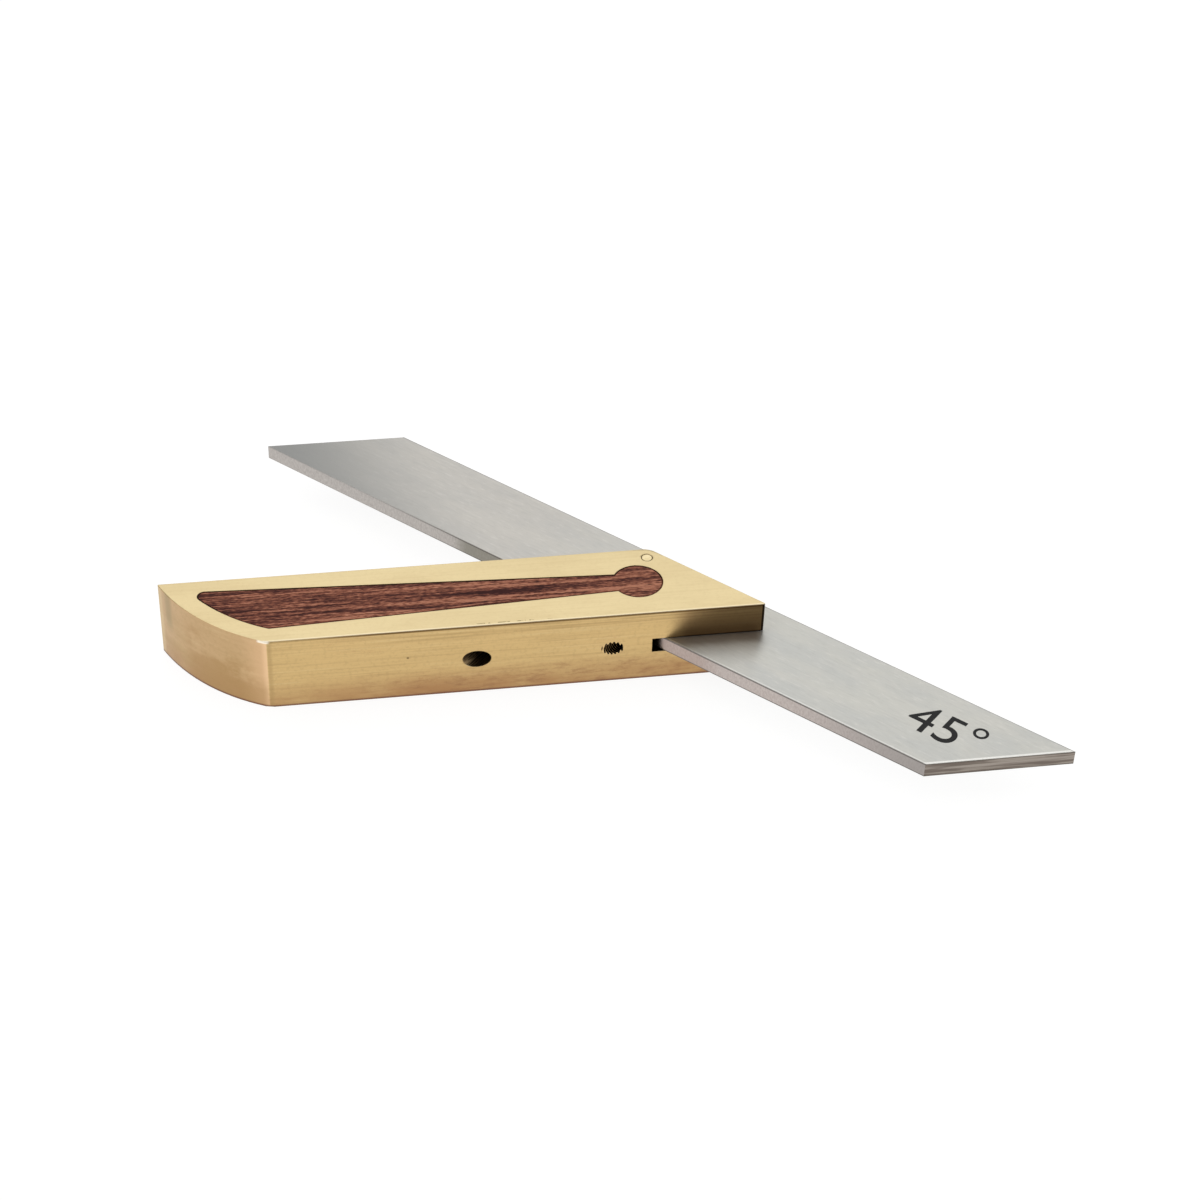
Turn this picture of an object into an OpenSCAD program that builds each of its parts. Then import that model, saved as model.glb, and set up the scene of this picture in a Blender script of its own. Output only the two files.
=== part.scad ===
// Fixed 45 degree mitre gauge: a brass stock with wood infills and a steel blade through its slotted nose.
// The blade turns a little about one pin and is trued by two headless screws that press on its inner edge.
// Origin: where the blade's inner edge crosses the working face, at the level of the sole.
// X runs along the working face to the nose, Y from the working face into the stock, Z up from the sole.

/* [Stock] */
// Length of the working face from the blade's inner edge back to the butt
stock_reach = 74.8; // [66:0.1:90]
// Length of the working face from the blade's inner edge on to the nose
nose_reach = 19.4; // [17:0.1:22]
// Width of the stock from the working face to the back
stock_w = 19.4; // [18:0.1:22]
// Thickness of the stock from the sole to the top
stock_t = 16; // [15:0.5:20]
// Radius of the bowed butt
butt_r = 37.5; // [30:0.5:60]
// Radius of the edges around the top and the sole
edge_r = 0.16; // [0.1:0.01:0.28]
// Radius of the upright corner between the working face and the butt
heel_r = 3.5; // [1:0.1:5]
// Depth by which the top and sole ends of that corner are eased
heel_ease = 0.2; // [0.1:0.05:0.4]
// Radius of the upright corner between the butt and the back
tail_r = 0.3; // [0.2:0.05:1]
// Radius of the upright corner between the working face and the nose
nose_r = 0.3; // [0.2:0.05:0.6]
// Radius of the upright corner between the nose and the back
nose_back_r = 5; // [2:0.1:6]

/* [Blade] */
// Angle between the blade and the working face
mitre_angle = 45; // [42:1:48]
// Width of the blade
blade_w = 19.8; // [18:0.1:24]
// Thickness of the blade
blade_t = 3; // [2:0.1:3.4]
// Length of the blade's inner edge
blade_l = 157.2; // [130:0.1:200]
// Part of the inner edge that stands out in front of the working face
blade_front = 57.3; // [45:0.1:65]
// Radius of the edges of the blade
blade_edge_r = 0.07; // [0.04:0.01:0.2]
// Gap between the inner edge and the floor of the slot
slot_gap = 1.7; // [1.5:0.1:2.2]
// Gap between each face of the blade and its slot
slot_clear = 0.1; // [0.03:0.01:0.15]

/* [Infills] */
// Thickness of each infill
infill_t = 4; // [2:0.1:4.5]
// Rim of brass left around the wide end
infill_rim = 4.03; // [3:0.01:4.5]
// Radius of the round end
round_r = 4.57; // [4:0.01:5.2]
// Distance from the blade's inner edge to the middle of the round end, along the working face
round_back = 3.85; // [2:0.05:8]
// Width of the taper where it runs into the round end
neck_w = 4.1; // [3:0.05:6]
// Corner radius at the wide end
infill_corner_r = 1.2; // [0.8:0.05:2]
// Glue line around each infill
glue_gap = 0.3; // [0.1:0.01:0.35]
// Depth of each infill below the brass
infill_sink = 0.03; // [0.01:0.01:0.1]

/* [Pivot] */
// Diameter of the pivot pin
pin_d = 2.3; // [2:0.1:2.6]
// Distance from the pin to the back of the stock
pin_to_back = 2.75; // [2.2:0.05:4]
// Distance from the pin to the nose face
pin_to_nose = 2.6; // [2.2:0.05:4]
// Radial clearance between the pin and the blade
pin_clear = 0.02; // [0.01:0.01:0.05]
// Radius of the edges on the ends of the pin
pin_edge_r = 0.2; // [0.05:0.01:0.3]

/* [Adjusters] */
// Thread diameter of the adjuster screws
screw_d = 3; // [2.5:0.1:3]
// Length of each adjuster screw
screw_l = 4; // [3.5:0.1:4.5]
// Radial clearance between a screw and its hole
screw_clear = 0.05; // [0.03:0.01:0.1]
// Size across the flats of the hex socket
socket_af = 1.5; // [1.2:0.1:1.5]
// Depth of the hex socket
socket_depth = 1.6; // [1:0.1:1.8]
// Radius of the domed point
point_r = 2.4; // [2:0.1:3]
// Gap between the domed point and the blade
point_gap = 0.08; // [0.06:0.01:0.12]
// Distance from the working face to the front screw's point
front_inset = 5; // [4.7:0.05:5.5]
// Distance from the back of the stock to the rear screw's point
rear_inset = 1.5; // [1:0.05:1.6]
// Diameter of the plain hole that leads to the rear screw
access_d = 3.9; // [3.3:0.05:4]
// Length of thread left for the rear screw before the slot
rear_thread_l = 6.5; // [5:0.1:8]

/* [Hidden] */
$fn = 96;
// Overshoot of every cutter
eps = 1;
// Longer than any run across the stock
far = 400;
// Largest turn of one flat along a small edge radius, an infill's corners and its wide end
edge_turn = 30;
corner_turn = 8;
end_turn = 1.5;
// Flats that make up the rounding of an upright corner
corner_flats = 4;
// Overlap of the bar with the bowed butt
butt_overlap = 2;
// Direction along the blade and square to it
along = [-cos(mitre_angle), sin(mitre_angle)];
across = [sin(mitre_angle), cos(mitre_angle)];
// Middle plane of the stock, which holds the blade and both screws
mid_z = stock_t / 2;
slot_h = blade_t + 2 * slot_clear;
// Butt corners and the middle of the bowed butt
butt_front = [-stock_reach, 0];
butt_back = [-stock_reach - stock_w / tan(mitre_angle), stock_w];
half_chord = norm(butt_back - butt_front) / 2;
butt_mid = (butt_front + butt_back) / 2;
butt_c = butt_mid + across * sqrt(butt_r * butt_r - half_chord * half_chord);
// Nose corners
nose_front = [nose_reach, 0];
nose_back = [nose_reach - stock_w / tan(mitre_angle), stock_w];
// Pin position
pin_y = stock_w - pin_to_back;
pin_x = nose_reach - (pin_to_nose + pin_y * cos(mitre_angle)) / sin(mitre_angle);
// Distance along the inner edge to each screw, and from the working face to the edge along each screw's axis
front_at = front_inset / sin(mitre_angle);
rear_at = (stock_w - rear_inset) / sin(mitre_angle);
front_run = front_at * tan(mitre_angle);
rear_run = rear_at * tan(mitre_angle);
// Infill taper
infill_mid = stock_w / 2;
wide_half = infill_mid - infill_rim;
taper = atan((wide_half - neck_w / 2) / (stock_reach - round_back));
end_r = butt_r - infill_rim;

// Piece to draw, or all of them

// Points along an arc, none of whose flats turns by more than the given angle
function arc(c, r, from, to, turn) =
    let (steps = ceil(abs(to - from) / turn))
    [for (i = [0 : steps]) let (a = from + (to - from) * i / steps) c + r * [cos(a), sin(a)]];

// Distance along a ray from p towards u at which it leaves a circle about c
function ray_to_circle(p, u, c, r) =
    let (b = (p - c) * u) -b + sqrt(b * b - (p - c) * (p - c) + r * r);

function heading(v) = let (a = atan2(v[1], v[0])) a < 0 ? a + 360 : a;

// Outline of a plate of height h that ends at x with rounded edges and starts at zero
function edge_profile(x, h, r) = concat(
    [[0, 0]],
    arc([x - r, r], r, -90, 0, edge_turn),
    arc([x - r, h - r], r, 0, 90, edge_turn),
    [[0, h]]
);

// Rectangle with rounded corners, from its lower left corner
module round_rect(w, h, r) {
    polygon(concat(
        arc([r, r], r, 180, 270, edge_turn),
        arc([w - r, r], r, 270, 360, edge_turn),
        arc([w - r, h - r], r, 0, 90, edge_turn),
        arc([r, h - r], r, 90, 180, edge_turn)
    ));
}

// Local frame of the blade: X square to the inner edge, Y along it
module blade_frame() {
    rotate([0, 0, 90 - mitre_angle]) children();
}

// Axis of a screw: Z points at the blade and the origin lies on the inner edge
module screw_axis(at) {
    blade_frame() translate([0, at, mid_z]) rotate([0, 90, 0]) children();
}

// Everything behind an upright face through p whose outward heading is given, with rounded top and sole edges
module behind_face(p, out, r) {
    translate([p[0], p[1], 0])
        rotate([0, 0, out])
            translate([-far, far / 2, 0])
                rotate([90, 0, 0])
                    linear_extrude(far) polygon(edge_profile(far, stock_t, r));
}

// Everything beyond the rounding of an upright corner at p, between faces with outward normals n1 and n2
module beyond_corner(p, n1, n2, corner_r) {
    middle = p - corner_r * (n1 + n2) / (1 + n1 * n2);
    swing = (heading(n2) - heading(n1) + 540) % 360 - 180;
    for (i = [1 : corner_flats])
        translate([middle[0], middle[1], -eps])
            rotate([0, 0, heading(n1) + swing * i / (corner_flats + 1)])
                translate([corner_r, -far / 2, 0])
                    cube([far, far, stock_t + 2 * eps]);
}

// Everything beyond the slanted flats on the top and sole ends of the heel
module beyond_heel() {
    out = butt_front - butt_c + [0, -butt_r];
    for (side = [-1, 1])
        translate([butt_front[0], butt_front[1], mid_z + side * mid_z])
            rotate([0, -side * 45, heading(out)])
                translate([-heel_ease, -far / 2, -far / 2])
                    cube([far, far, far]);
}

module stock_blank() {
    front = [0, -1];
    back = [0, 1];
    difference() {
        intersection() {
            behind_face([0, 0], heading(front), edge_r);
            behind_face([0, stock_w], heading(back), edge_r);
            behind_face(nose_front, heading(across), edge_r);
            union() {
                translate([butt_c[0], butt_c[1], 0])
                    rotate_extrude() polygon(edge_profile(butt_r, stock_t, edge_r));
                blade_frame()
                    translate([butt_overlap - stock_reach * sin(mitre_angle), -far / 2, -eps])
                        cube([far, far, stock_t + 2 * eps]);
            }
        }
        beyond_corner(butt_front, front, (butt_front - butt_c) / butt_r, heel_r);
        beyond_corner(butt_back, (butt_back - butt_c) / butt_r, back, tail_r);
        beyond_corner(nose_front, front, across, nose_r);
        beyond_corner(nose_back, back, across, nose_back_r);
        beyond_heel();
    }
}

// Keyhole outline of an infill, grown by g for its pocket
module infill_outline(g) {
    round_c = [-round_back, infill_mid];
    neck = neck_w / 2 + g / cos(taper);
    inset = (neck_w / 2 - infill_corner_r / cos(taper));
    corner_r = end_r - infill_corner_r;
    up = [-cos(taper), sin(taper)];
    down = [-cos(taper), -sin(taper)];
    p_up = round_c + [0, inset];
    p_down = round_c - [0, inset];
    c_up = p_up + up * ray_to_circle(p_up, up, butt_c, corner_r);
    c_down = p_down + down * ray_to_circle(p_down, down, butt_c, corner_r);
    a_up = heading(c_up - butt_c);
    a_down = heading(c_down - butt_c);
    polygon(concat(
        [round_c + [0, neck]],
        arc(c_up, infill_corner_r + g, 90 - taper, a_up, corner_turn),
        arc(butt_c, end_r + g, a_up, a_down, end_turn),
        arc(c_down, infill_corner_r + g, a_down, 270 + taper, corner_turn),
        [round_c - [0, neck]]
    ));
    translate(round_c) circle(round_r + g);
}

module infill_pocket() {
    linear_extrude(infill_t + infill_sink + eps) infill_outline(glue_gap);
}

module stock_body() {
    color("#c8a85a")
    difference() {
        stock_blank();
        blade_frame()
            translate([-slot_gap, -far / 2, mid_z - slot_h / 2])
                cube([far, far, slot_h]);
        translate([0, 0, stock_t - infill_t - infill_sink]) infill_pocket();
        translate([0, 0, -eps]) infill_pocket();
        translate([pin_x, pin_y, -eps]) cylinder(d = pin_d, h = stock_t + 2 * eps);
        screw_axis(front_at)
            translate([0, 0, -front_run - screw_d - eps])
                cylinder(r = screw_d / 2 + screw_clear, h = front_run + screw_d + eps);
        screw_axis(rear_at)
            translate([0, 0, -rear_run - access_d - eps])
                cylinder(r = screw_d / 2 + screw_clear, h = rear_run + access_d + eps);
        screw_axis(rear_at)
            translate([0, 0, -rear_run - access_d - eps])
                cylinder(d = access_d, h = rear_run + access_d + eps - slot_gap - rear_thread_l);
    }
}

module blade() {
    color("#c9c9c6")
    difference() {
        translate([0, 0, mid_z - blade_t / 2])
            intersection() {
                blade_frame()
                    translate([0, far / 2, 0])
                        rotate([90, 0, 0])
                            linear_extrude(far) round_rect(blade_w, blade_t, blade_edge_r);
                translate([-far / 2, -blade_front * sin(mitre_angle), 0])
                    rotate([90, 0, 90])
                        linear_extrude(far) round_rect(blade_l * sin(mitre_angle), blade_t, blade_edge_r);
            }
        translate([pin_x, pin_y, 0]) cylinder(r = pin_d / 2 + pin_clear, h = stock_t);
    }
}

module upper_infill() {
    color("#7a4630")
    translate([0, 0, stock_t - infill_t - infill_sink])
        linear_extrude(infill_t) infill_outline(0);
}

module lower_infill() {
    color("#7a4630")
    translate([0, 0, infill_sink])
        linear_extrude(infill_t) infill_outline(0);
}

module pivot_pin() {
    color("#b79a63")
    translate([pin_x, pin_y, 0])
        rotate_extrude() polygon(edge_profile(pin_d / 2, stock_t, pin_edge_r));
}

// Headless screw with its domed point at the origin, pointing along Z
module adjuster() {
    difference() {
        intersection() {
            translate([0, 0, -screw_l]) cylinder(d = screw_d, h = screw_l);
            union() {
                translate([0, 0, -point_r]) sphere(point_r);
                translate([0, 0, -screw_l - eps]) cylinder(d = 2 * screw_d, h = screw_l + eps - point_r);
            }
        }
        translate([0, 0, -screw_l - eps])
            cylinder(d = socket_af / cos(30), h = socket_depth + eps, $fn = 6);
    }
}

module front_adjuster() {
    color("#4a4a4c")
    screw_axis(front_at) translate([0, 0, -point_gap]) adjuster();
}

module rear_adjuster() {
    color("#4a4a4c")
    screw_axis(rear_at) translate([0, 0, -point_gap]) adjuster();
}

stock_body();
blade();
upper_infill();
lower_infill();
pivot_pin();
front_adjuster();
rear_adjuster();
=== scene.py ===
"""Looks of the mitre gauge: brass stock, steel blade, rosewood infills, studio light and camera."""

import math

import bmesh
import bpy
from mathutils import Matrix, Vector


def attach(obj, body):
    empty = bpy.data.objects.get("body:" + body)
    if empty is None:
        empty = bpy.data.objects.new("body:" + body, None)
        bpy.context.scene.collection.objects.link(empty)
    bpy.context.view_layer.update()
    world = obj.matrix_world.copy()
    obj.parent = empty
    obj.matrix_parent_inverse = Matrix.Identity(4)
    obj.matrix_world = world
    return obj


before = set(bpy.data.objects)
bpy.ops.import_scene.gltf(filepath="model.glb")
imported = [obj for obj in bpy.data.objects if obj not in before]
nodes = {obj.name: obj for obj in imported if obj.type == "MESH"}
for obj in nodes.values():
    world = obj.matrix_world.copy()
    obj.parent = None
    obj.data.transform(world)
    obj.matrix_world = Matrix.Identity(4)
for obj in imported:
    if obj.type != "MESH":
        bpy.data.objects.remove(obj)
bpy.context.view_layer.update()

MM = 0.001
SCENE = bpy.context.scene

# Sizes of the part, in mm, as the solids have them
MITRE = math.radians(45)
STOCK_W = 19.4
STOCK_T = 16.0
MID_Z = STOCK_T / 2
STOCK_REACH = 74.8
SLOT_FLOOR = -1.7
SLOT_HALF = 1.6
GLUE_GAP = 0.3
PIN_AT = (-0.927, 16.65)
PIN_R = 1.15
ACCESS_R = 1.95
TAP_BORE_R = 1.55
TAP_CREST_R = 1.22
TAP_PITCH = 0.5
BLADE_TOP = MID_Z + 1.5
BLADE_W = 19.8
BLADE_FRONT = 57.3
BLADE_END_Y = -BLADE_FRONT * math.sin(MITRE)

# Directions along the blade and square to it, and the screws' places along the blade's inner edge
ALONG = Vector((-math.cos(MITRE), math.sin(MITRE), 0))
ACROSS = Vector((math.sin(MITRE), math.cos(MITRE), 0))
TO_BLADE = MITRE - math.pi / 2
FRONT_AT = 5.0 / math.sin(MITRE)
REAR_AT = (STOCK_W - 1.5) / math.sin(MITRE)
BEHIND_STOCK = STOCK_W / math.sin(MITRE)
HEEL = (-STOCK_REACH, 0.0)
TAIL = (-STOCK_REACH - STOCK_W / math.tan(MITRE), STOCK_W)
NOSE_BACK = (0.0, STOCK_W)
NOSE_TIP_X = 18.98

# Runs of the cut threads, measured along the holes from the blade's inner edge, and their form
FRONT_THREAD = (FRONT_AT + 1.9, 4.65)
REAR_THREAD = (8.2, 5.4)
THREAD_OVERLAP = 0.02
GROOVE_SHARE = 0.34
FLANK_SHARE = 0.50
MOUTH_INSET = 0.012

# Glue line, sunk a little under the faces, and the figure on the blade
GLUE_CLEAR = 0.004
GLUE_SUNK = 0.03
GLUE_DEPTH = 1.0
FIGURE_SIZE = 11.0
FIGURE_HALF = 0.004
FIGURE_LIFT = 0.005
FIGURE_FORWARD = 55.6
FIGURE_ACROSS = 10.2

# Dark streak in the wood
HEART_Y = 10.0


class Graph:
    """Small helper that adds shader nodes to a tree and joins them."""

    def __init__(self, tree):
        self.tree = tree

    def add(self, kind, **props):
        node = self.tree.nodes.new(kind)
        for key, value in props.items():
            setattr(node, key, value)
        return node

    def put(self, socket, value):
        if hasattr(value, "is_output"):
            self.tree.links.new(value, socket)
        else:
            socket.default_value = value

    def math(self, op, a, b=0.0):
        node = self.add("ShaderNodeMath", operation=op)
        self.put(node.inputs[0], a)
        self.put(node.inputs[1], b)
        return node.outputs[0]

    def times(self, first, *rest):
        for value in rest:
            first = self.math("MULTIPLY", first, value)
        return first

    def most(self, first, *rest):
        for value in rest:
            first = self.math("MAXIMUM", first, value)
        return first

    def ramp(self, value, low, high, out_low=0.0, out_high=1.0):
        """Smooth step from one value at low to another at high; low may be the larger."""
        node = self.add("ShaderNodeMapRange", interpolation_type="SMOOTHSTEP")
        for socket, number in zip(node.inputs, (value, low, high, out_low, out_high)):
            self.put(socket, number)
        return node.outputs[0]

    def mix(self, fac, a, b):
        node = self.add("ShaderNodeMix", data_type="RGBA")
        self.put(node.inputs["Factor"], fac)
        self.put(node.inputs[6], a)
        self.put(node.inputs[7], b)
        return node.outputs[2]

    def blend(self, fac, a, b):
        node = self.add("ShaderNodeMix", data_type="FLOAT")
        self.put(node.inputs[0], fac)
        self.put(node.inputs[2], a)
        self.put(node.inputs[3], b)
        return node.outputs[0]

    def colours(self, value, stops):
        """Colour ramp through (place, colour) stops."""
        node = self.add("ShaderNodeValToRGB")
        marks = node.color_ramp.elements
        marks[0].position, marks[0].color = stops[0]
        marks[1].position, marks[1].color = stops[-1]
        for place, colour in stops[1:-1]:
            marks.new(place).color = colour
        self.put(node.inputs[0], value)
        return node.outputs["Color"]

    def position(self, turn=0.0):
        """Object position in mm, turned about Z so that local axes follow a piece."""
        coord = self.add("ShaderNodeTexCoord")
        spin = self.add("ShaderNodeVectorRotate", rotation_type="Z_AXIS")
        self.put(spin.inputs["Vector"], coord.outputs["Object"])
        spin.inputs["Angle"].default_value = turn
        grow = self.add("ShaderNodeVectorMath", operation="SCALE")
        self.put(grow.inputs[0], spin.outputs[0])
        grow.inputs["Scale"].default_value = 1 / MM
        return grow.outputs[0]

    def stretch(self, vector, factors):
        node = self.add("ShaderNodeVectorMath", operation="MULTIPLY")
        self.put(node.inputs[0], vector)
        node.inputs[1].default_value = factors
        return node.outputs[0]

    def noise(self, vector, scale=1.0, detail=2.0, rough=0.5):
        node = self.add("ShaderNodeTexNoise")
        self.put(node.inputs["Vector"], vector)
        node.inputs["Scale"].default_value = scale
        node.inputs["Detail"].default_value = detail
        node.inputs["Roughness"].default_value = rough
        return node.outputs["Fac"]

    def cell_distance(self, vector, scale):
        node = self.add("ShaderNodeTexVoronoi")
        self.put(node.inputs["Vector"], vector)
        node.inputs["Scale"].default_value = scale
        return node.outputs["Distance"]

    def split(self, vector):
        node = self.add("ShaderNodeSeparateXYZ")
        self.put(node.inputs[0], vector)
        return node.outputs

    def normal(self):
        return self.split(self.add("ShaderNodeNewGeometry").outputs["Normal"])

    def reach(self, a, b, at):
        """Distance of the point (a, b) from a fixed point."""
        da = self.math("SUBTRACT", a, at[0])
        db = self.math("SUBTRACT", b, at[1])
        return self.math("SQRT", self.math("ADD", self.times(da, da), self.times(db, db)))

    def bump(self, height, strength, distance, base):
        node = self.add("ShaderNodeBump")
        node.inputs["Strength"].default_value = strength
        node.inputs["Distance"].default_value = distance
        self.put(node.inputs["Height"], height)
        self.put(node.inputs["Normal"], base)
        return node.outputs[0]

    def soft_edge(self, radius):
        node = self.add("ShaderNodeBevel", samples=6)
        self.put(node.inputs["Radius"], radius)
        return node.outputs[0]


def material(name):
    """A new empty material, its graph and its surface socket."""
    mat = bpy.data.materials.new(name)
    mat.use_nodes = True
    mat.node_tree.nodes.clear()
    g = Graph(mat.node_tree)
    out = g.add("ShaderNodeOutputMaterial")
    return mat, g, out.inputs["Surface"]


def finish(g, surface, colour, roughness, normal, metal=True, gloss=0.5):
    """Principled surface of a metal, or of other stuff with a given specular level; returns its node."""
    shader = g.add("ShaderNodeBsdfPrincipled")
    g.put(shader.inputs["Base Color"], colour)
    g.put(shader.inputs["Roughness"], roughness)
    g.put(shader.inputs["Normal"], normal)
    shader.inputs["Metallic"].default_value = 1.0 if metal else 0.0
    shader.inputs["Specular IOR Level"].default_value = gloss
    g.put(surface, shader.outputs[0])
    return shader


# Brass tones: level faces painted lighter and upright faces and the butt painted darker as light falls,
# painted warm reflection low down, brown streaks, painted heel highlight, painted shade lines and
# highlights
PALE = (0.765, 0.625, 0.355, 1)
WARM = (0.665, 0.466, 0.208, 1)
COPPER = (0.40, 0.215, 0.095, 1)
BROWN = (0.40, 0.265, 0.115, 1)
BUTT = (0.56, 0.375, 0.195, 1)
OLIVE = (0.43, 0.29, 0.115, 1)
HEEL_HIGHLIGHT = (0.765, 0.495, 0.28, 1)
BRIGHT = (0.95, 0.82, 0.56, 1)
DARK_LINE = (0.12, 0.062, 0.020, 1)
GRIME_AND_SHADE = (0.030, 0.018, 0.010, 1)
LOW_WARM_REFLECTION = (0.30, 0.15, 0.075, 1)
LOWER_BUTT_SHADE = (0.405, 0.238, 0.098, 1)
HEEL_HIGHLIGHT_CORE = (0.98, 0.68, 0.42, 1)
TAIL_BAND = (0.40, 0.285, 0.14, 1)
BLADE_SHADE = (0.17, 0.09, 0.045, 1)
SOLE_LINE = (0.17, 0.08, 0.055, 1)
GLINT = (1.0, 0.90, 0.74, 1)
DRILLED_SHADE_DARK = (0.10, 0.06, 0.03, 1)
DRILLED_SHADE_PALE = (0.50, 0.35, 0.19, 1)
PIN_HIGHLIGHT = (0.82, 0.69, 0.42, 1)
PIN_RING = (0.115, 0.070, 0.022, 1)
CREST_DEEP = (0.62, 0.42, 0.19, 1)
CREST_PALE = (0.75, 0.54, 0.26, 1)
THREAD_SHADE = (0.018, 0.010, 0.006, 1)


def stock_brass():
    """Brass brushed along the stock; upright faces painted darker and warmer as shade, a painted warm
    reflection low down and a painted highlight at the heel.
    """
    mat, g, surface = material("brushed_brass")
    pos = g.position()
    local = g.position(TO_BLADE)
    x, y, z = g.split(pos)
    out, along, _ = g.split(local)
    nx, _, nz = g.normal()
    upright = g.ramp(g.math("ABSOLUTE", nz), 0.8, 0.4)
    slanted = g.ramp(g.math("ABSOLUTE", nx), 0.25, 0.38)
    butt = g.ramp(g.times(nx, -1.0), 0.25, 0.38)
    front = g.ramp(y, 0.5, 0.2)

    # Brush marks follow the bar, and run across the slanted ends
    fine = g.blend(slanted, g.noise(g.stretch(pos, (0.06, 4.5, 4.5)), 1.0, 3.0, 0.65),
                   g.noise(g.stretch(local, (0.08, 0.08, 4.5)), 1.0, 3.0, 0.65))
    streak = g.blend(slanted, g.noise(g.stretch(pos, (0.03, 1.7, 1.7)), 1.0, 4.0, 0.62),
                     g.noise(g.stretch(local, (0.09, 0.09, 0.7)), 1.0, 4.0, 0.6))
    cloud = g.noise(g.stretch(pos, (0.06, 0.2, 0.2)), 1.0, 4.0, 0.6)
    mottle = g.noise(pos, 1.3, 3.0, 0.6)

    # Painted light and shade: level faces are paler, and upright faces and the butt darker and warmer, as
    # light falls on them
    colour = g.mix(upright, PALE, WARM)
    colour = g.mix(butt, colour, BUTT)
    brushed = g.blend(upright, 0.45, g.blend(butt, g.ramp(y, 6.0, 14.0, 1.0, 0.4), 0.5))
    banded = g.times(brushed, g.blend(upright, 0.35, 0.85))
    colour = g.mix(g.times(g.ramp(streak, 0.52, 0.33, 0.0, 0.42), banded), colour, BROWN)
    colour = g.mix(g.times(g.ramp(streak, 0.54, 0.68, 0.0, 0.30), banded), colour, PALE)
    colour = g.mix(g.ramp(cloud, 0.36, 0.62, 0.10, 0.0), colour, BROWN)
    colour = g.mix(g.times(g.ramp(fine, 0.5, 0.28, 0.0, 0.22), brushed), colour, BROWN)
    mottled = g.times(g.ramp(mottle, 0.52, 0.34, 0.0, 0.22), g.blend(upright, 0.25, 1.0))
    colour = g.mix(mottled, colour, BROWN)
    # Painted warm reflection low on the upright faces, in copper tones
    sole = g.times(g.ramp(z, 7.5, 1.0), g.ramp(cloud, 0.30, 0.62, 0.45, 1.0), upright)
    colour = g.mix(g.times(sole, g.ramp(x, -74.0, -45.0, 0.62, 0.95)), colour, COPPER)
    high = g.times(g.ramp(z, 12.9, 14.3), g.ramp(x, -62.0, -30.0))
    under_top = g.times(high, g.ramp(streak, 0.60, 0.40), upright)
    colour = g.mix(g.times(under_top, 0.44), colour, BROWN)
    coppery = g.times(g.ramp(cloud, 0.56, 0.70), g.ramp(mottle, 0.45, 0.65), front)
    colour = g.mix(g.times(coppery, 0.45), colour, COPPER)
    # Painted darker warm reflection, in patches low on the front face
    patch = g.noise(g.stretch(pos, (0.22, 0.9, 0.9)), 1.0, 6.0, 0.75)
    low_front = g.times(g.ramp(z, 9.0, 2.5), g.ramp(x, -62.0, -40.0, 0.35, 1.0), front)
    low_reflection_patches = g.times(g.ramp(patch, 0.45, 0.68), low_front)
    colour = g.mix(g.times(low_reflection_patches, 0.62), colour, LOW_WARM_REFLECTION)
    # Blotchy tarnish and painted reflected shade darken the lower butt, the painted shade below a wavy
    # level
    blotch = g.noise(g.stretch(local, (0.16, 0.12, 0.16)), 1.0, 4.0, 0.6)
    low_butt = g.times(g.ramp(z, 13.5, 5.5), g.ramp(blotch, 0.40, 0.62), butt)
    colour = g.mix(g.times(low_butt, 0.35), colour, OLIVE)
    past_heel = g.math("ADD", x, STOCK_REACH)
    uneven = g.ramp(blotch, 0.30, 0.70, 4.0, -4.0)
    shade_level = g.math("ADD", g.math("ADD", z, g.times(past_heel, 0.36)), uneven)
    lower_butt_shade = g.times(g.ramp(shade_level, 7.0, 2.6), butt, g.ramp(past_heel, -15.5, -13.0))
    colour = g.mix(g.times(lower_butt_shade, 0.54), colour, LOWER_BUTT_SHADE)

    # Painted highlight on the heel's butt side with painted shade beside it, and painted shade and a
    # painted highlight beside the tail
    heel_side = g.times(g.ramp(y, 8.0, 6.0), upright)
    heel_highlight = g.times(g.ramp(past_heel, 0.1, -0.1), g.ramp(z, 3.5, 8.0, 0.5, 1.0), heel_side)
    colour = g.mix(g.times(heel_highlight, g.ramp(past_heel, -6.0, 0.8), 0.75), colour, HEEL_HIGHLIGHT)
    colour = g.mix(g.times(heel_highlight, g.ramp(past_heel, -1.2, -0.2), 0.35), colour, HEEL_HIGHLIGHT_CORE)
    shade_beside = g.times(g.ramp(past_heel, 0.05, 0.2), g.ramp(past_heel, 1.2, 0.5), heel_side)
    colour = g.mix(g.times(shade_beside, 0.45), colour, BROWN)
    from_tail = g.reach(x, y, TAIL)
    # Painted shade band near the tail corner, then a painted highlight strip at its edge
    band = g.times(g.ramp(from_tail, 2.2, 3.7), g.ramp(from_tail, 5.8, 4.3), g.ramp(z, 6.5, 10.5), butt)
    colour = g.mix(g.times(band, 0.9), colour, TAIL_BAND)
    colour = g.mix(g.times(g.ramp(from_tail, 2.2, 1.2), butt, 0.35), colour, PALE)

    # Painted shade and reflection, and a painted dark shade line, where the blade leaves the front face
    by_blade = g.times(g.ramp(z, MID_Z, BLADE_TOP), g.ramp(x, 0.0, 5.0), front, upright)
    colour = g.mix(g.times(by_blade, g.ramp(z, 15.5, 10.5, 0.5, 0.75)), colour, BLADE_SHADE)
    colour = g.mix(g.times(by_blade, g.ramp(z, BLADE_TOP + 0.4, BLADE_TOP + 0.15), 0.85), colour, GRIME_AND_SHADE)
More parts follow.
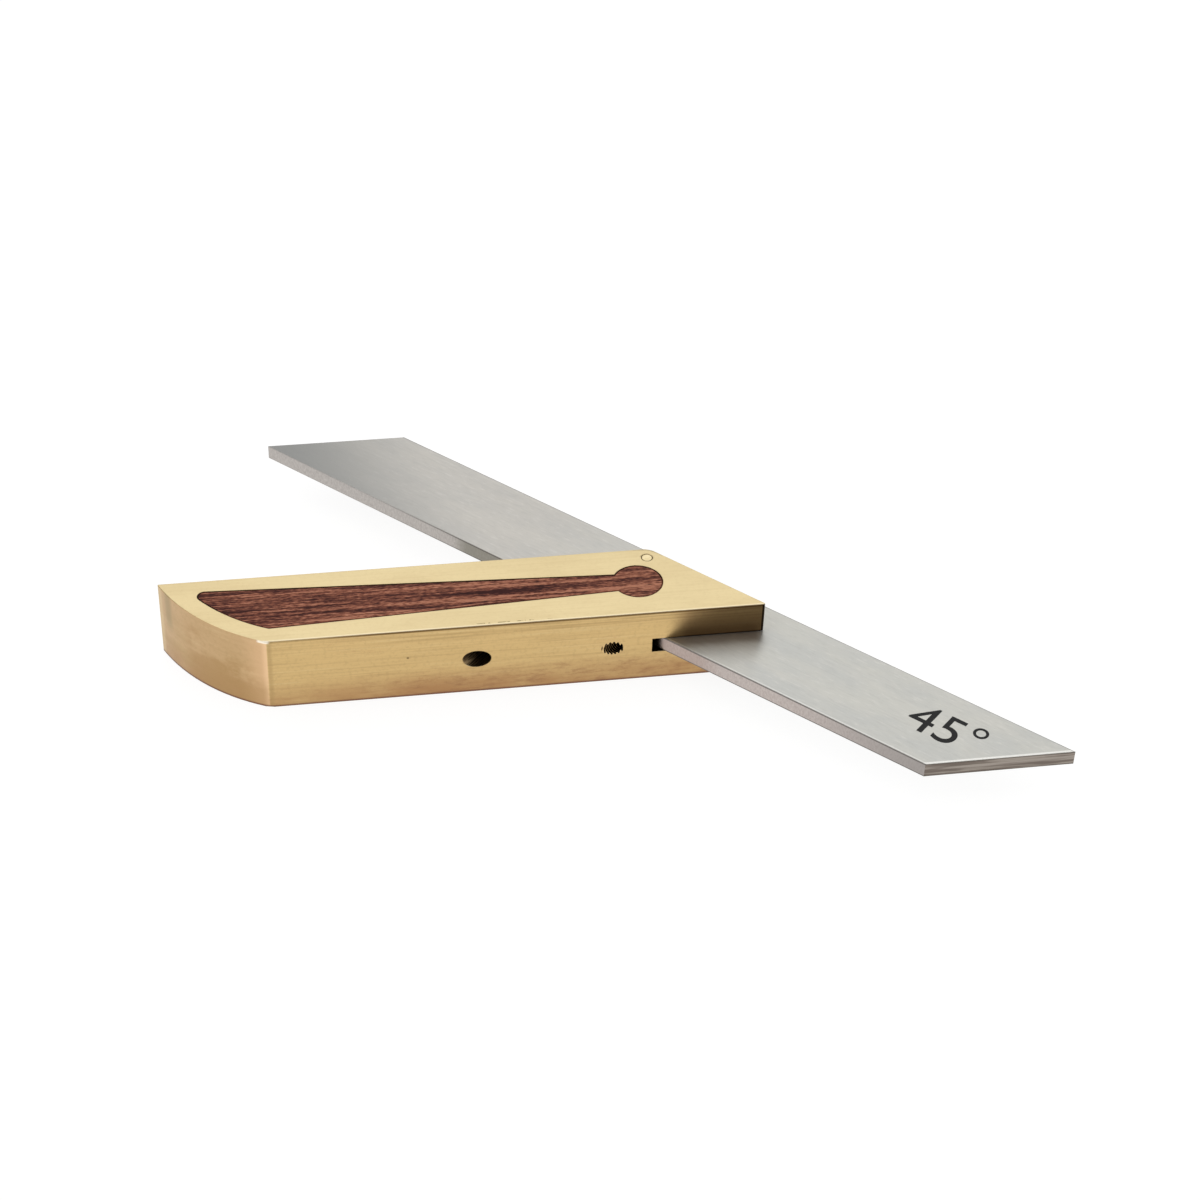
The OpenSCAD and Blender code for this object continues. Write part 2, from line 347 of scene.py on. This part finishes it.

    # Painted shade lines along the sole and under the top edge, nicks along that edge and a few specks,
    # painted shade at the nose corner and painted highlights on the front edge and above the heel
    # Painted shade lines along the sole and just under the top edge
    colour = g.mix(g.times(g.ramp(z, 0.75, 0.25), upright, 0.9), colour, SOLE_LINE)
    top_line = g.times(g.ramp(z, 15.45, 15.7), g.ramp(y, 0.2, 0.14), g.ramp(x, -74.0, -52.0, 0.35, 0.85))
    colour = g.mix(top_line, colour, DARK_LINE)
    nick = g.ramp(g.noise(g.stretch(pos, (1.5, 0.8, 0.8)), 1.0, 2.0, 0.6), 0.50, 0.57)
    in_row = g.times(g.ramp(y, 0.78, 0.70), g.ramp(y, 0.46, 0.54), g.ramp(nz, 0.9, 0.98))
    near_edge = g.times(in_row, g.ramp(x, -38.0, -34.0), g.ramp(x, -20.0, -25.0))
    colour = g.mix(g.times(nick, near_edge, 0.6), colour, DARK_LINE)
    speck = g.ramp(g.cell_distance(pos, 0.1), 0.034, 0.022)
    colour = g.mix(g.times(speck, 0.6), colour, GRIME_AND_SHADE)
    # Painted shade down the rounded nose corner
    nose_line = g.times(g.ramp(x, NOSE_TIP_X - 0.6, NOSE_TIP_X - 0.45), g.ramp(y, 0.34, 0.24), upright)
    colour = g.mix(g.times(nose_line, 0.95), colour, GRIME_AND_SHADE)
    # Painted highlight along the front top edge
    front_edge = g.times(g.ramp(y, 0.5, 0.3), g.ramp(nz, 0.6, 0.8))
    colour = g.mix(g.times(front_edge, 0.7), colour, BRIGHT)
    # Painted highlight on the top corner above the heel
    above_heel = g.ramp(g.reach(x, y, (HEEL[0] - 0.6, 0.5)), 1.4, 0.7)
    glint = g.times(above_heel, g.ramp(z, 15.35, 15.6), g.ramp(nz, 0.98, 0.9))
    colour = g.mix(glint, colour, GLINT)

    # Painted shade darkens the slot and the tapped holes, and the plain hole's drilled wall is painted
    # dark as shade with paler score marks
    bored = g.ramp(out, SLOT_FLOOR + 0.1, SLOT_FLOOR)
    from_tap = g.reach(along, z, (FRONT_AT, MID_Z))
    tap = g.times(g.ramp(from_tap, TAP_BORE_R + 0.06, TAP_BORE_R + 0.02), bored)
    in_slot = g.times(g.ramp(g.reach(z, 0.0, (MID_Z, 0.0)), SLOT_HALF + 0.05, SLOT_HALF + 0.01),
                      g.ramp(out, SLOT_FLOOR - 0.06, SLOT_FLOOR - 0.02))
    within = g.ramp(y, 0.02, 0.2)
    colour = g.mix(g.times(g.most(tap, in_slot), within), colour, GRIME_AND_SHADE)
    from_access = g.reach(along, z, (REAR_AT, MID_Z))
    access = g.times(g.ramp(from_access, ACCESS_R + 0.06, ACCESS_R + 0.02), bored)
    score = g.noise(g.stretch(local, (0.25, 3.0, 3.0)), 1.0, 3.0, 0.7)
    drilled_shade = g.mix(g.ramp(score, 0.38, 0.62), DRILLED_SHADE_DARK, DRILLED_SHADE_PALE)
    colour = g.mix(g.times(access, within), colour, drilled_shade)

    roughness = g.blend(fine, 0.26, 0.44)
    height = g.blend(0.35, fine, streak)
    at_heel = g.ramp(g.reach(x, y, HEEL), 1.6, 1.0)
    rounding = g.most(at_heel, g.ramp(g.reach(x, y, NOSE_BACK), 3.6, 3.0))
    edge = g.soft_edge(g.blend(rounding, 0.1 * MM, 0.6 * MM))
    finish(g, surface, colour, roughness, g.bump(height, 0.3, 0.02 * MM, edge))
    return mat


def pin_brass():
    """Brass pin filed flush: a painted highlight in the middle inside a ring of painted shade."""
    mat, g, surface = material("pin_brass")
    pos = g.position()
    x, y, _ = g.split(pos)
    ring = g.ramp(g.reach(x, y, PIN_AT), PIN_R - 0.28, PIN_R - 0.1)
    shade_beside = g.ramp(g.reach(x, 0.0, (PIN_AT[0], 0.0)), 0.25, 0.85, 0.6, 1.0)
    swirl = g.noise(g.stretch(pos, (0.5, 3.0, 1.0)), 1.0, 3.0, 0.6)
    colour = g.mix(g.ramp(swirl, 0.4, 0.65), PIN_HIGHLIGHT, PALE)
    # Painted shade in the ring, stronger to the sides
    colour = g.mix(g.times(ring, shade_beside, 0.95), colour, PIN_RING)
    normal = g.bump(swirl, 0.2, 0.02 * MM, g.soft_edge(0.12 * MM))
    finish(g, surface, colour, g.blend(swirl, 0.2, 0.4), normal)
    return mat


def thread_brass():
    """Cut thread: golden crests, with painted shade deeper in the hole and in the grooves."""
    mat, g, surface = material("thread_brass")
    pos = g.position()
    _, y, z = g.split(pos)
    along = g.split(g.position(TO_BLADE))[1]
    front = g.reach(along, z, (FRONT_AT, MID_Z))
    rear = g.reach(along, z, (REAR_AT, MID_Z))
    depth = g.math("MINIMUM", front, rear)
    groove = g.times(g.ramp(depth, TAP_CREST_R + 0.02, TAP_CREST_R + 0.08), g.ramp(y, 0.03, 0.12))
    grain = g.noise(pos, 6.0, 2.0, 0.5)
    colour = g.mix(g.ramp(grain, 0.3, 0.7), CREST_DEEP, CREST_PALE)
    # Painted shade deeper in the hole and in the grooves
    colour = g.mix(g.ramp(y, 0.06, 0.35, 0.0, 0.82), colour, DARK_LINE)
    colour = g.mix(groove, colour, THREAD_SHADE)
    normal = g.bump(grain, 0.1, 0.01 * MM, g.soft_edge(0.01 * MM))
    finish(g, surface, colour, g.blend(grain, 0.25, 0.4), normal)
    return mat


# Steel tones: warm and cool clouds near the camera and far from it, grinding marks, edges and sawn ends,
# painted shade and reflection, and painted highlights and shade lines on the edges
NEAR_WARM = (0.592, 0.586, 0.543, 1)
NEAR_COOL = (0.55, 0.552, 0.525, 1)
FAR_WARM = (0.59, 0.567, 0.525, 1)
FAR_COOL = (0.557, 0.54, 0.508, 1)
STREAK_PALE = (0.67, 0.645, 0.595, 1)
MARK_DARK = (0.43, 0.425, 0.40, 1)
MARK_PALE = (0.74, 0.72, 0.68, 1)
FAR_END_SHADE = (0.325, 0.325, 0.315, 1)
CONTACT_SHADE = (0.155, 0.115, 0.085, 1)
EDGE_WORN = (0.26, 0.25, 0.24, 1)
EDGE_BROWN = (0.35, 0.22, 0.17, 1)
EDGE_SHADE_BEHIND = (0.19, 0.185, 0.145, 1)
SAWN_DARK = (0.18, 0.148, 0.125, 1)
SAWN_PALE = (0.36, 0.315, 0.275, 1)
END_RIM_SHADE = (0.10, 0.085, 0.07, 1)
END_BRIGHT = (0.88, 0.87, 0.83, 1)
INNER_BRIGHT = (0.82, 0.81, 0.78, 1)
EDGE_LINE = (0.13, 0.12, 0.11, 1)


def ground_steel():
    """Tool steel ground along the blade, with duller, warmer edges and streaked, sawn ends; painted
    reflection and shade at the far end and by the stock, painted highlights and shade lines on the edges.
    """
    mat, g, surface = material("ground_steel")
    local = g.position(TO_BLADE)
    out, along, z = g.split(local)
    _, ny, nz = g.normal()
    upright = g.ramp(g.math("ABSOLUTE", nz), 0.8, 0.4)
    end = g.times(g.ramp(g.math("ABSOLUTE", ny), 0.85, 0.95), upright)
    fine = g.noise(g.stretch(local, (5.0, 0.06, 5.0)), 1.0, 3.0, 0.65)
    streak = g.noise(g.stretch(local, (0.45, 0.03, 0.45)), 1.0, 4.0, 0.6)
    cloud = g.noise(g.stretch(local, (0.14, 0.06, 0.14)), 1.0, 4.0, 0.55)

    near = g.mix(g.ramp(cloud, 0.35, 0.65), NEAR_WARM, NEAR_COOL)
    distant = g.mix(g.ramp(cloud, 0.35, 0.65), FAR_WARM, FAR_COOL)
    colour = g.mix(g.ramp(along, 5.0, 45.0), near, distant)
    colour = g.mix(g.ramp(streak, 0.46, 0.66, 0.0, 0.15), colour, STREAK_PALE)
    colour = g.mix(g.ramp(fine, 0.46, 0.30, 0.0, 0.3), colour, MARK_DARK)
    scratch = g.noise(g.stretch(local, (1.7, 0.35, 1.7)), 1.0, 3.0, 0.7)
    colour = g.mix(g.ramp(scratch, 0.48, 0.32, 0.0, 0.2), colour, MARK_DARK)
    colour = g.mix(g.ramp(scratch, 0.54, 0.70, 0.0, 0.3), colour, MARK_PALE)
    # Painted darker reflection towards the far end
    far_end_shade = g.ramp(g.math("SUBTRACT", along, g.times(out, 1.6)), 38.0, 97.0)
    colour = g.mix(far_end_shade, colour, FAR_END_SHADE)
    sideways, ahead, _ = g.split(g.position())
    # Painted shadow and dark reflection on the blade beside the stock's front
    line = g.math("ADD", ahead, g.times(streak, 1.6))
    contact_shade = g.times(g.ramp(line, -3.0, -0.8), g.ramp(ahead, 0.9, 0.2), g.ramp(sideways, 19.0, 17.0))
    colour = g.mix(g.times(contact_shade, 0.58), colour, CONTACT_SHADE)
    grit = g.noise(g.stretch(local, (2.6, 2.6, 1.3)), 1.0, 3.0, 0.7)
    rosy = g.colours(grit, (
        (0.30, (0.42, 0.36, 0.335, 1)),
        (0.50, (0.51, 0.45, 0.42, 1)),
        (0.70, (0.59, 0.53, 0.495, 1)),
    ))
    grey = g.colours(grit, (
        (0.30, (0.38, 0.35, 0.33, 1)),
        (0.50, (0.46, 0.43, 0.405, 1)),
        (0.70, (0.55, 0.515, 0.485, 1)),
    ))
    edge = g.mix(g.ramp(along, 0.0, 25.0), rosy, grey)
    edge = g.mix(g.ramp(along, -24.0, -58.0, 0.0, 0.61), edge, EDGE_WORN)
    by_stock = g.times(g.ramp(along, -14.0, -7.0), g.ramp(along, 10.0, 4.0))
    edge = g.mix(g.times(by_stock, 0.37), edge, EDGE_BROWN)
    # Painted reflected shade on the inner edge behind the stock
    shade_behind = g.times(g.ramp(along, BEHIND_STOCK - 6.0, BEHIND_STOCK),
                     g.ramp(along, BEHIND_STOCK + 24.5, BEHIND_STOCK + 20.0))
    edge = g.mix(g.times(shade_behind, g.ramp(out, 5.0, 3.0), 0.65), edge, EDGE_SHADE_BEHIND)
    colour = g.mix(upright, colour, edge)
    layers = g.noise(g.stretch(g.position(), (0.07, 0.07, 1.5)), 1.0, 3.0, 0.6)
    sawn = g.mix(g.ramp(layers, 0.40, 0.62), SAWN_DARK, SAWN_PALE)
    rise = g.math("ABSOLUTE", g.math("SUBTRACT", z, MID_Z))
    # Painted shade along the top and bottom rims of the sawn ends
    sawn = g.mix(g.ramp(rise, 1.15, 1.3, 0.0, 0.7), sawn, END_RIM_SHADE)
    colour = g.mix(end, colour, sawn)
    # Painted highlight along the near end's top edge
    end_edge = g.times(g.ramp(ahead, BLADE_END_Y + 0.6, BLADE_END_Y + 0.35), g.ramp(rise, 1.42, 1.47))
    colour = g.mix(g.times(end_edge, 0.9), colour, END_BRIGHT)
    # Painted highlight just inside the inner edge near the stock
    inner_bright = g.times(g.ramp(out, 0.52, 0.40), g.ramp(nz, 0.6, 0.8), g.ramp(along, 5.0, 0.0))
    colour = g.mix(g.times(inner_bright, 0.5), colour, INNER_BRIGHT)
    # Painted shade lines along the inner and outer edges
    inner_line = g.times(g.ramp(out, 0.17, 0.09), g.ramp(rise, 1.20, 1.28))
    outer_line = g.times(g.ramp(out, BLADE_W - 0.26, BLADE_W - 0.14), g.ramp(rise, 1.30, 1.38))
    inner_line = g.times(inner_line, g.ramp(along, 42.0, 78.0, 1.0, 0.2))
    lines = g.most(inner_line, g.times(outer_line, 0.6))
    colour = g.mix(g.times(lines, 0.8), colour, EDGE_LINE)

    roughness = g.blend(upright, g.blend(fine, 0.34, 0.50), g.blend(grit, 0.26, 0.42))
    height = g.blend(0.35, fine, streak)
    normal = g.bump(height, 0.16, 0.02 * MM, g.soft_edge(0.06 * MM))
    shader = finish(g, surface, colour, roughness, normal)
    shader.inputs["Anisotropic"].default_value = 0.75
    across = g.add("ShaderNodeVectorMath", operation="CROSS_PRODUCT")
    g.put(across.inputs[0], g.add("ShaderNodeNewGeometry").outputs["Normal"])
    across.inputs[1].default_value = ALONG
    g.put(shader.inputs["Tangent"], across.outputs[0])
    return mat


def rosewood():
    """Oiled rosewood: wavy dark and red bands with fibres and pores that run along the stock."""
    mat, g, surface = material("rosewood")
    pos = g.position()
    wave = g.noise(g.stretch(pos, (0.10, 0.25, 0.25)), 1.0, 2.0, 0.5)
    bend = g.add("ShaderNodeCombineXYZ")
    g.put(bend.inputs["Y"], g.times(wave, 0.9))
    shifted = g.add("ShaderNodeVectorMath", operation="ADD")
    g.put(shifted.inputs[0], pos)
    g.put(shifted.inputs[1], bend.outputs[0])
    grain = shifted.outputs[0]
    band = g.noise(g.stretch(grain, (0.014, 0.40, 0.40)), 1.0, 2.0, 0.5)
    ripple = g.noise(g.stretch(grain, (0.03, 1.2, 1.2)), 1.0, 2.0, 0.6)
    fibre = g.noise(g.stretch(grain, (0.12, 2.5, 2.5)), 1.0, 3.0, 0.7)
    fleck = g.noise(g.stretch(grain, (0.85, 3.0, 3.0)), 1.0, 2.0, 0.6)
    coarse = g.math("ADD", g.times(band, 0.21), g.times(ripple, 0.30))
    tone = g.math("ADD", coarse, g.math("ADD", g.times(fibre, 0.25), g.times(fleck, 0.24)))
    across = g.split(grain)[1]
    heart = g.ramp(g.reach(across, 0.0, (HEART_Y, 0.0)), 1.0, 0.2, 0.0, 0.045)
    tone = g.math("SUBTRACT", tone, g.times(heart, g.ramp(ripple, 0.35, 0.65, 1.0, 0.4)))
    tone = g.math("ADD", tone, g.ramp(g.split(pos)[0], -24.0, -6.0, 0.0, 0.027))
    colour = g.colours(g.ramp(tone, 0.426, 0.583), (
        (0.00, (0.050, 0.0140, 0.0120, 1)),
        (0.22, (0.100, 0.0310, 0.0230, 1)),
        (0.50, (0.205, 0.0700, 0.0450, 1)),
        (0.78, (0.340, 0.1240, 0.0740, 1)),
        (1.00, (0.520, 0.2200, 0.1350, 1)),
    ))
    pore = g.noise(g.stretch(grain, (0.40, 4.4, 4.4)), 1.0, 1.0, 0.5)
    open_pore = g.ramp(pore, 0.60, 0.70)
    colour = g.mix(g.times(open_pore, 0.75), colour, (0.026, 0.009, 0.009, 1))
    roughness = g.blend(fibre, 0.46, 0.64)
    height = g.math("SUBTRACT", fibre, open_pore)
    normal = g.bump(height, 0.3, 0.04 * MM, g.soft_edge(0.08 * MM))
    finish(g, surface, colour, roughness, normal, metal=False, gloss=0.07)
    return mat


def glue():
    """Dark glue and wood dust in the line around an infill, painted darker on its back side as shade."""
    mat, g, surface = material("glue_line")
    pos = g.position()
    grain = g.noise(pos, 4.0, 2.0, 0.5)
    # Painted shade: the glue on the back side of the infill is darker
    shade_behind = g.mix(grain, (0.014, 0.006, 0.004, 1), (0.040, 0.017, 0.010, 1))
    ahead = g.mix(grain, (0.080, 0.029, 0.018, 1), (0.150, 0.058, 0.036, 1))
    colour = g.mix(g.ramp(g.split(pos)[1], 8.5, 11.0), ahead, shade_behind)
    normal = g.bump(grain, 0.2, 0.02 * MM, g.soft_edge(0.02 * MM))
    finish(g, surface, colour, 0.8, normal, metal=False, gloss=0.02)
    return mat


def black_oxide():
    """Blackened screw steel with the thread as fine rings along the screw's axis."""
    mat, g, surface = material("black_oxide")
    local = g.position(TO_BLADE)
    ring = g.math("SINE", g.times(g.split(local)[0], 2 * math.pi / TAP_PITCH))
    grain = g.noise(local, 6.0, 2.0, 0.5)
    colour = g.mix(grain, (0.035, 0.035, 0.037, 1), (0.07, 0.07, 0.072, 1))
    finish(g, surface, colour, 0.4, g.bump(ring, 0.6, 0.15 * MM, g.soft_edge(0.05 * MM)))
    return mat


def etched():
    """Black oxide left by etching."""
    mat, g, surface = material("etched_black")
    grain = g.noise(g.position(), 5.0, 2.0, 0.5)
    colour = g.mix(grain, (0.010, 0.010, 0.010, 1), (0.03, 0.03, 0.03, 1))
    normal = g.bump(grain, 0.1, 0.01 * MM, g.soft_edge(0.01 * MM))
    finish(g, surface, colour, 0.6, normal, metal=False, gloss=0.2)
    return mat


def floor_paper():
    """White sweep: white where it is seen directly or in metal, with the object's soft shadow."""
    mat, g, surface = material("floor_paper")
    path = g.add("ShaderNodeLightPath")
    direct = g.most(path.outputs["Is Camera Ray"], path.outputs["Is Glossy Ray"])
    seen = g.most(direct, path.outputs["Is Transmission Ray"])
    paper = g.add("ShaderNodeBsdfDiffuse")
    paper.inputs["Color"].default_value = (0.86, 0.86, 0.86, 1)
    veil = g.add("ShaderNodeBsdfDiffuse")
    veil.inputs["Color"].default_value = (0.22, 0.22, 0.22, 1)
    white = g.add("ShaderNodeEmission")
    white.inputs["Strength"].default_value = 0.87
    lit = g.add("ShaderNodeAddShader")
    g.put(lit.inputs[0], veil.outputs[0])
    g.put(lit.inputs[1], white.outputs[0])
    both = g.add("ShaderNodeMixShader")
    g.put(both.inputs[0], seen)
    g.put(both.inputs[1], paper.outputs[0])
    g.put(both.inputs[2], lit.outputs[0])
    g.put(surface, both.outputs[0])
    return mat


def new_piece(name, mesh, mat, body):
    """A piece of the object that rides on a body and takes its finish from a slot."""
    obj = bpy.data.objects.new(name, mesh)
    SCENE.collection.objects.link(obj)
    mesh.materials.clear()
    mesh.materials.append(mat)
    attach(obj, body)
    return obj


def thread_liner(name, at, runs, mouth, mat):
    """Internal thread inside an adjuster hole: crests stand in from the bore's wall.

    A mouth is cut off at the working face.
    """
    run_from, run_to = runs
    turns = 64
    per_pitch = 12
    shell_r = TAP_BORE_R + THREAD_OVERLAP
    steps = int((run_from - run_to) / TAP_PITCH * per_pitch)
    start = ALONG * at + Vector((0, 0, MID_Z))

    def point(run, angle, radius):
        spoke = ALONG * math.cos(angle) + Vector((0, 0, math.sin(angle)))
        return (start - ACROSS * run + spoke * radius) * MM

    def thread_r(run, part):
        phase = (run / TAP_PITCH + part + 0.5) % 1.0
        depth = min(1.0, max(0.0, (abs(phase - 0.5) * 2 - GROOVE_SHARE) / FLANK_SHARE))
        return TAP_BORE_R - (TAP_BORE_R - TAP_CREST_R) * depth

    def in_hollow(offset):
        spoke = Vector((offset.dot(ALONG), offset.z))
        part = math.atan2(spoke.y, spoke.x) / (2 * math.pi) % 1.0
        return spoke.length < thread_r(-offset.dot(ACROSS), part)

    bm = bmesh.new()
    rows = []
    for i in range(steps + 1):
        run = run_from - (run_from - run_to) * i / steps
        angles = [2 * math.pi * j / turns for j in range(turns)]
        inner = [bm.verts.new(point(run, a, thread_r(run, j / turns))) for j, a in enumerate(angles)]
        shell = [bm.verts.new(point(run, a, shell_r)) for a in angles]
        rows.append((inner, shell))
    for low, high in zip(rows, rows[1:]):
        for j in range(turns):
            k = (j + 1) % turns
            bm.faces.new((low[0][j], low[0][k], high[0][k], high[0][j]))
            bm.faces.new((low[1][k], low[1][j], high[1][j], high[1][k]))
    for inner, shell in (rows[0], rows[-1]):
        for j in range(turns):
            k = (j + 1) % turns
            bm.faces.new((inner[j], shell[j], shell[k], inner[k]))
    bmesh.ops.recalc_face_normals(bm, faces=bm.faces)
    if mouth:
        cut = bmesh.ops.bisect_plane(
            bm,
            geom=bm.verts[:] + bm.edges[:] + bm.faces[:],
            dist=1e-9,
            plane_co=(0, MOUTH_INSET * MM, 0),
            plane_no=(0, -1, 0),
            clear_outer=True,
        )
        edges = [e for e in cut["geom_cut"] if isinstance(e, bmesh.types.BMEdge)]
        filled = bmesh.ops.triangle_fill(bm, use_beauty=True, edges=edges, normal=(0, -1, 0))
        faces = [f for f in filled["geom"] if isinstance(f, bmesh.types.BMFace)]
        hollow = [f for f in faces if in_hollow(f.calc_center_median() / MM - start)]
        bmesh.ops.delete(bm, geom=hollow, context="FACES_ONLY")
    mesh = bpy.data.meshes.new(name)
    bm.to_mesh(mesh)
    bm.free()
    return new_piece(name, mesh, mat, "stock")


def flat_outline(node, side):
    """Anticlockwise outline of a node's flat top (side 1) or bottom (side -1), and its height."""
    mesh = nodes[node].data
    flats = [p for p in mesh.polygons if p.normal.z * side > 0.9]
    height = mesh.vertices[flats[0].vertices[0]].co.z
    steps = set()
    for poly in flats:
        corners = [tuple(round(c, 7) for c in mesh.vertices[i].co.xy) for i in poly.vertices]
        steps.update(zip(corners, corners[1:] + corners[:1]))
    following = {a: b for a, b in steps if (b, a) not in steps}
    loop = [min(following)]
    while following[loop[-1]] != loop[0]:
        loop.append(following[loop[-1]])
    return [Vector(p) for p in loop[::side]], height


def grown(loop, by):
    """The same loop moved outwards by a small distance."""
    out = []
    for before, here, after in zip(loop[-1:] + loop[:-1], loop, loop[1:] + loop[:1]):
        d1 = (here - before).normalized()
        d2 = (after - here).normalized()
        n1 = Vector((d1.y, -d1.x))
        n2 = Vector((d2.y, -d2.x))
        out.append(here + (n1 + n2) * by / (1 + n1.dot(n2)))
    return out


def glue_line(node, side, mat):
    """Ring of glue that fills the gap around an infill to just under its face."""
    loop, height = flat_outline(node, side)
    inner = grown(loop, GLUE_CLEAR * MM)
    outer = grown(loop, (GLUE_GAP - GLUE_CLEAR) * MM)
    top = height - side * GLUE_SUNK * MM
    low = height - side * GLUE_DEPTH * MM
    bm = bmesh.new()
    rings = [[bm.verts.new((p.x, p.y, z)) for p in line] for line, z in
             ((inner, top), (outer, top), (outer, low), (inner, low))]
    for a, b in zip(rings, rings[1:] + rings[:1]):
        for j in range(len(loop)):
            k = (j + 1) % len(loop)
            bm.faces.new((a[j], a[k], b[k], b[j]))
    bmesh.ops.recalc_face_normals(bm, faces=bm.faces)
    mesh = bpy.data.meshes.new(node + "_glue")
    bm.to_mesh(mesh)
    bm.free()
    return new_piece(node + "_glue", mesh, mat, "stock")


def angle_mark(mat):
    """The plain figure of the blade's angle, etched near its front end."""
    curve = bpy.data.curves.new("angle_mark", "FONT")
    curve.body = "45°"
    curve.size = FIGURE_SIZE * MM
    curve.align_x = "CENTER"
    curve.align_y = "CENTER"
    curve.extrude = FIGURE_HALF * MM
    text = bpy.data.objects.new("angle_mark_curve", curve)
    SCENE.collection.objects.link(text)
    bpy.context.view_layer.update()
    depsgraph = bpy.context.evaluated_depsgraph_get()
    mesh = bpy.data.meshes.new_from_object(text.evaluated_get(depsgraph))
    bpy.data.objects.remove(text)
    mesh.name = "angle_mark"
    centre = -ALONG * FIGURE_FORWARD + ACROSS * FIGURE_ACROSS
    place = Matrix.Translation((centre.x * MM, centre.y * MM, (BLADE_TOP + FIGURE_LIFT) * MM))
    mesh.transform(place @ Matrix.Rotation(-MITRE, 4, "Z"))
    return new_piece("angle_mark", mesh, mat, "blade")


def dress(node, mat):
    mesh = nodes[node].data
    mesh.materials.clear()
    mesh.materials.append(mat)


wood = rosewood()
oxide = black_oxide()
thread = thread_brass()
seam = glue()
dress("stock_body", stock_brass())
dress("pivot_pin", pin_brass())
dress("blade", ground_steel())
dress("upper_infill", wood)
dress("lower_infill", wood)
dress("front_adjuster", oxide)
dress("rear_adjuster", oxide)
thread_liner("front_thread", FRONT_AT, FRONT_THREAD, True, thread)
thread_liner("rear_thread", REAR_AT, REAR_THREAD, False, thread)
glue_line("upper_infill", 1, seam)
glue_line("lower_infill", -1, seam)
angle_mark(etched())

# Floor
bpy.ops.mesh.primitive_plane_add(size=8, location=(0, 0, 0))
floor = bpy.context.object
floor.name = "floor"
floor.data.materials.append(floor_paper())


def area_light(name, at, size, radiance):
    """A rectangular soft box aimed at the object, whose face has the given radiance."""
    light = bpy.data.lights.new(name, "AREA")
    light.shape = "RECTANGLE"
    light.size, light.size_y = size
    light.energy = radiance * math.pi * size[0] * size[1]
    obj = bpy.data.objects.new(name, light)
    SCENE.collection.objects.link(obj)
    obj.location = at
    obj.rotation_euler = (-Vector(at)).to_track_quat("-Z", "Y").to_euler()
    return obj


area_light("back_box", (0.15, 0.85, 1.0), (1.5, 0.9), 0.85)
area_light("top_box", (-0.3, 0.0, 1.2), (0.9, 0.9), 0.8)
area_light("left_box", (-0.95, -0.1, 0.75), (0.6, 0.8), 1.0)
area_light("key_box", (-0.24, -0.72, 0.93), (0.22, 0.22), 2.5)
area_light("front_left_box", (-0.95, -0.75, 0.55), (0.5, 0.6), 0.5)
area_light("front_right_box", (0.95, -0.70, 0.60), (0.7, 0.7), 0.6)


def studio_world():
    """White backdrop low down, a plain grey room above it, and a darker part of the room in front."""
    world = bpy.data.worlds.new("studio")
    world.use_nodes = True
    world.node_tree.nodes.clear()
    g = Graph(world.node_tree)
    toward = g.add("ShaderNodeTexCoord").outputs["Generated"]
    facing = g.add("ShaderNodeVectorMath", operation="DOT_PRODUCT")
    g.put(facing.inputs[0], toward)
    facing.inputs[1].default_value = (0.136, -0.766, 0.629)
    edge, core = math.cos(math.radians(30)), math.cos(math.radians(10))
    shade = g.ramp(facing.outputs["Value"], edge, core)
    room = g.mix(shade, (0.42, 0.42, 0.42, 1), (0.17, 0.155, 0.14, 1))
    backdrop = g.ramp(g.split(toward)[2], 0.36, 0.14)
    background = g.add("ShaderNodeBackground")
    g.put(background.inputs["Color"], g.mix(backdrop, room, (1, 1, 1, 1)))
    g.put(g.add("ShaderNodeOutputWorld").inputs["Surface"], background.outputs[0])
    return world


SCENE.world = studio_world()

# Camera, fitted to the straight edges of the stock and blade
FOCAL_PX = 2701.29
IMAGE_PX = 1200
SENSOR = 36.0
YAW, PITCH, ROLL = (math.radians(a) for a in (10.06, 38.95, 2.06))
CAMERA_MM = Vector((-81.04, -385.0, 336.1))
look = Vector((math.sin(YAW) * math.cos(PITCH), math.cos(YAW) * math.cos(PITCH), -math.sin(PITCH)))
level = Vector((math.cos(YAW), -math.sin(YAW), 0))
above = level.cross(look)
right = math.cos(ROLL) * level + math.sin(ROLL) * above
top = -math.sin(ROLL) * level + math.cos(ROLL) * above
camera = bpy.data.cameras.new("camera")
camera.sensor_width = SENSOR
camera.lens = FOCAL_PX / IMAGE_PX * SENSOR
camera.clip_start = 0.01
camera_obj = bpy.data.objects.new("camera", camera)
SCENE.collection.objects.link(camera_obj)
turn = Matrix((right, top, -look)).transposed().to_4x4()
camera_obj.matrix_world = Matrix.Translation(CAMERA_MM * MM) @ turn
SCENE.camera = camera_obj

SCENE.view_settings.view_transform = "Standard"
